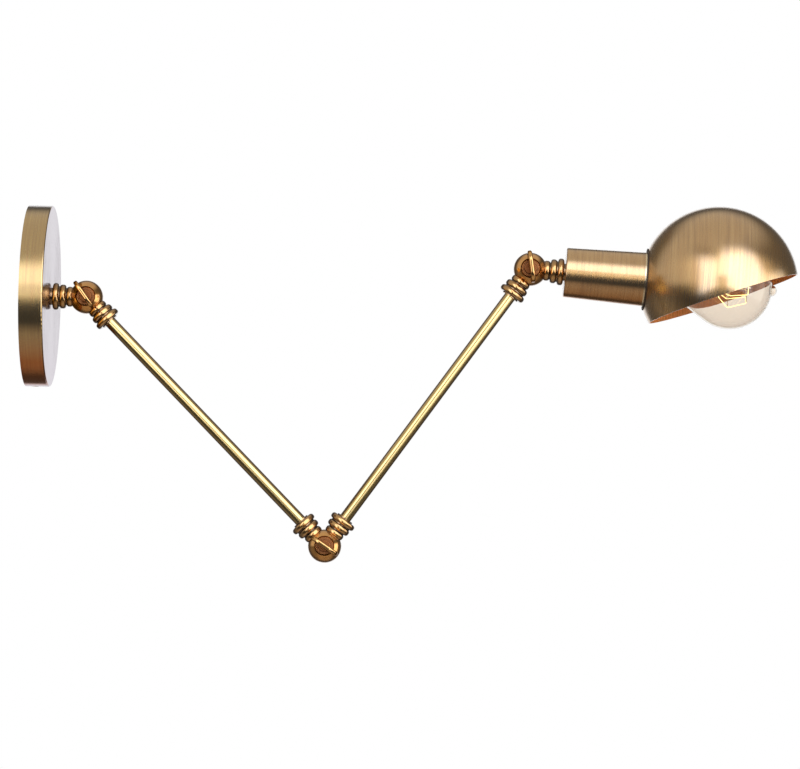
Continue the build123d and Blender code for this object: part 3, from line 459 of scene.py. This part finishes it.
finishes = {
    canopy_brass: ["canopy"],
    cup_brass: ["socket_cup"],
    shade_brass: ["shade"],
    ring_brass: ["shade_seat_ring"],
    lower_tube: ["lower_arm_tube"],
    upper_tube: ["upper_arm_tube"],
    shoulder_brass: ["base_knuckle", "lower_arm_shoulder_half"],
    elbow_brass: ["lower_arm_elbow_half", "upper_arm_elbow_half"],
    knuckle_brass: ["upper_arm_head_half", "head_knuckle"],
    screw_brass: ["shoulder_thumbscrew", "elbow_thumbscrew", "head_thumbscrew"],
    bright_brass: ["base_nipple", "base_nut", "head_nipple", "head_nut", "socket_shell",
                   "socket_contact", "socket_terminal_screws", "terminal_screws", "bulb_cap"],
    zinc: ["wall_bracket", "base_washer", "block_screw", "head_washer", "earth_ring"],
    bronze_steel: ["shoulder_spring_washer", "elbow_spring_washer", "head_spring_washer"],
    black_steel: ["canopy_grub_screws"],
    green_steel: ["earth_screw"],
    fibre: ["shade_gasket", "shoulder_friction_ring", "elbow_friction_ring",
            "head_friction_ring"],
    phenolic: ["socket_cap", "socket_body", "shade_ring_nut"],
    white_plastic: ["terminal_block"],
    insulation: ["base_leads", "lower_arm_leads", "upper_arm_leads", "head_leads"],
    earth_insulation: ["earth_lead"],
    solder: ["bulb_contact"],
    bulb_black: ["bulb_insulator"],
    bulb_clear: ["bulb_glass"],
    mount_clear: ["bulb_mount"],
    support_steel: ["bulb_supports"],
    filament_steel: ["bulb_filament"],
}
for finish, names in finishes.items():
    for name in names:
        nodes[name].data.materials.clear()
        nodes[name].data.materials.append(finish)


def pale_floor():
    """A painted floor under the lamp that fades out towards its edge."""
    bpy.ops.mesh.primitive_plane_add(size=2 * FLOOR_HALF, location=FLOOR_CENTRE)
    floor = bpy.context.object
    floor.name = "floor"
    made, graph, shader, place = material("floor_paint", Roughness=0.8)
    grain = graph.noise(place, scale=30.0, detail=4.0, roughness=0.6)
    graph.feed(shader.inputs["Base Color"], graph.mix(grain, FLOOR_PAINT, FLOOR_GRAIN))
    fade = graph.above(graph.vector("LENGTH", place), 0.5 * FLOOR_HALF, FLOOR_HALF)
    blend = graph.add("MixShader", {0: fade, 1: shader.outputs[0],
                                    2: graph.add("BsdfTransparent").outputs[0]})
    graph.feed(made.node_tree.nodes["Material Output"].inputs["Surface"], blend.outputs[0])
    floor.data.materials.append(made)


def studio_world():
    """Soft boxes beside the camera, a calm ceiling, dim sides and a white backdrop.

    Each area of light covers a range of directions: x to the right, y to the back, z up.
    A later area lies over the ones before it.
    """
    world = bpy.data.worlds.new("studio")
    bpy.context.scene.world = world
    world.use_nodes = True
    graph = Graph(world.node_tree)
    above = graph.above
    below = graph.below
    x, y, z = graph.parts(graph.add("TexCoord").outputs["Generated"])

    # The soft boxes are one area with a dim seam in it and a dark gap in front of the camera
    aside = graph.math("ABSOLUTE", x)
    seam = graph.math("ABSOLUTE", graph.math("ADD", x, 0.10))
    box_level = graph.spread(seam, 0.05, 0.14, 1.3, 2.8)
    gap = graph.math("MULTIPLY", below(aside, 0.08, 0.16), below(z, 0.12, 0.22))
    low_edge = graph.math("ADD", z, graph.math("MULTIPLY", aside, 0.5))
    high_edge = graph.math("ADD", z, graph.spread(x, -0.10, 0.02, 0.16, 0.0))
    behind = above(y, 0.88, 0.94)

    areas = [
        # Darkness low in front
        (rgb(0.05, 0.05, 0.05), [below(y, -0.5, -0.2), below(z, -0.10, 0.0)]),
        # Warm floor in front
        (rgb(0.34, 0.28, 0.22), [below(z, -0.80, -0.62), below(y, -0.1, 0.3)]),
        # Faint glow low on the left
        (rgb(0.24, 0.21, 0.16), [below(x, -0.55, -0.35), below(z, -0.25, -0.10),
                                 above(y, -0.2, 0.0), below(y, 0.3, 0.6)]),
        # Soft wash on the left
        (rgb(0.62, 0.57, 0.47), [below(x, -0.60, -0.45), above(z, -0.10, 0.05),
                                 below(y, 0.2, 0.5)]),
        # Bright strip on the right
        (rgb(2.1, 2.0, 1.75), [above(x, 0.65, 0.80), above(y, -0.45, -0.30), below(y, 0.20, 0.30),
                               above(z, -0.50, -0.35), below(z, 0.15, 0.30)]),
        # Calm ceiling
        (rgb(0.60, 0.55, 0.46), [above(z, 0.62, 0.84)]),
        # Soft boxes
        (box_level, [below(y, -0.55, -0.35), below(high_edge, 0.62, 0.84),
                     above(low_edge, -0.08, 0.02), above(x, -0.60, -0.45),
                     graph.spread(gap, 0.0, 1.0, 1.0, 0.06)]),
        # Backdrop, as dull surfaces see it
        (rgb(0.8, 0.8, 0.8), [behind]),
    ]
    light = graph.mix(above(y, -0.1, 0.5), rgb(0.15, 0.135, 0.11), rgb(0.11, 0.10, 0.085))
    for level, edges in areas:
        cover = edges[0]
        for edge in edges[1:]:
            cover = graph.math("MULTIPLY", cover, edge)
        light = graph.mix(cover, light, level)

    # The camera and glass see white all round, and polish sees a white backdrop
    seen = graph.add("LightPath").outputs
    shown = graph.math("MAXIMUM", seen["Is Camera Ray"], seen["Is Transmission Ray"])
    shown = graph.math("MAXIMUM", shown, graph.math("MULTIPLY", seen["Is Glossy Ray"], behind))
    background = world.node_tree.nodes["Background"]
    graph.feed(background.inputs["Color"], graph.mix(shown, light, rgb(1.0, 1.0, 1.0)))


def photo_camera():
    """The photograph's camera: nearly square to the arms, slightly from below."""
    lens = bpy.data.cameras.new("photo_camera")
    lens.lens = CAMERA_LENS
    camera = bpy.data.objects.new("photo_camera", lens)
    bpy.context.scene.collection.objects.link(camera)
    look = (CAMERA_AIM - CAMERA_AT).to_track_quat("-Z", "Y").to_matrix().to_4x4()
    roll = Matrix.Rotation(math.radians(CAMERA_ROLL), 4, "Z")
    camera.matrix_world = Matrix.Translation(CAMERA_AT) @ look @ roll
    bpy.context.scene.camera = camera


pale_floor()
studio_world()
photo_camera()
bpy.context.scene.view_settings.view_transform = "Standard"
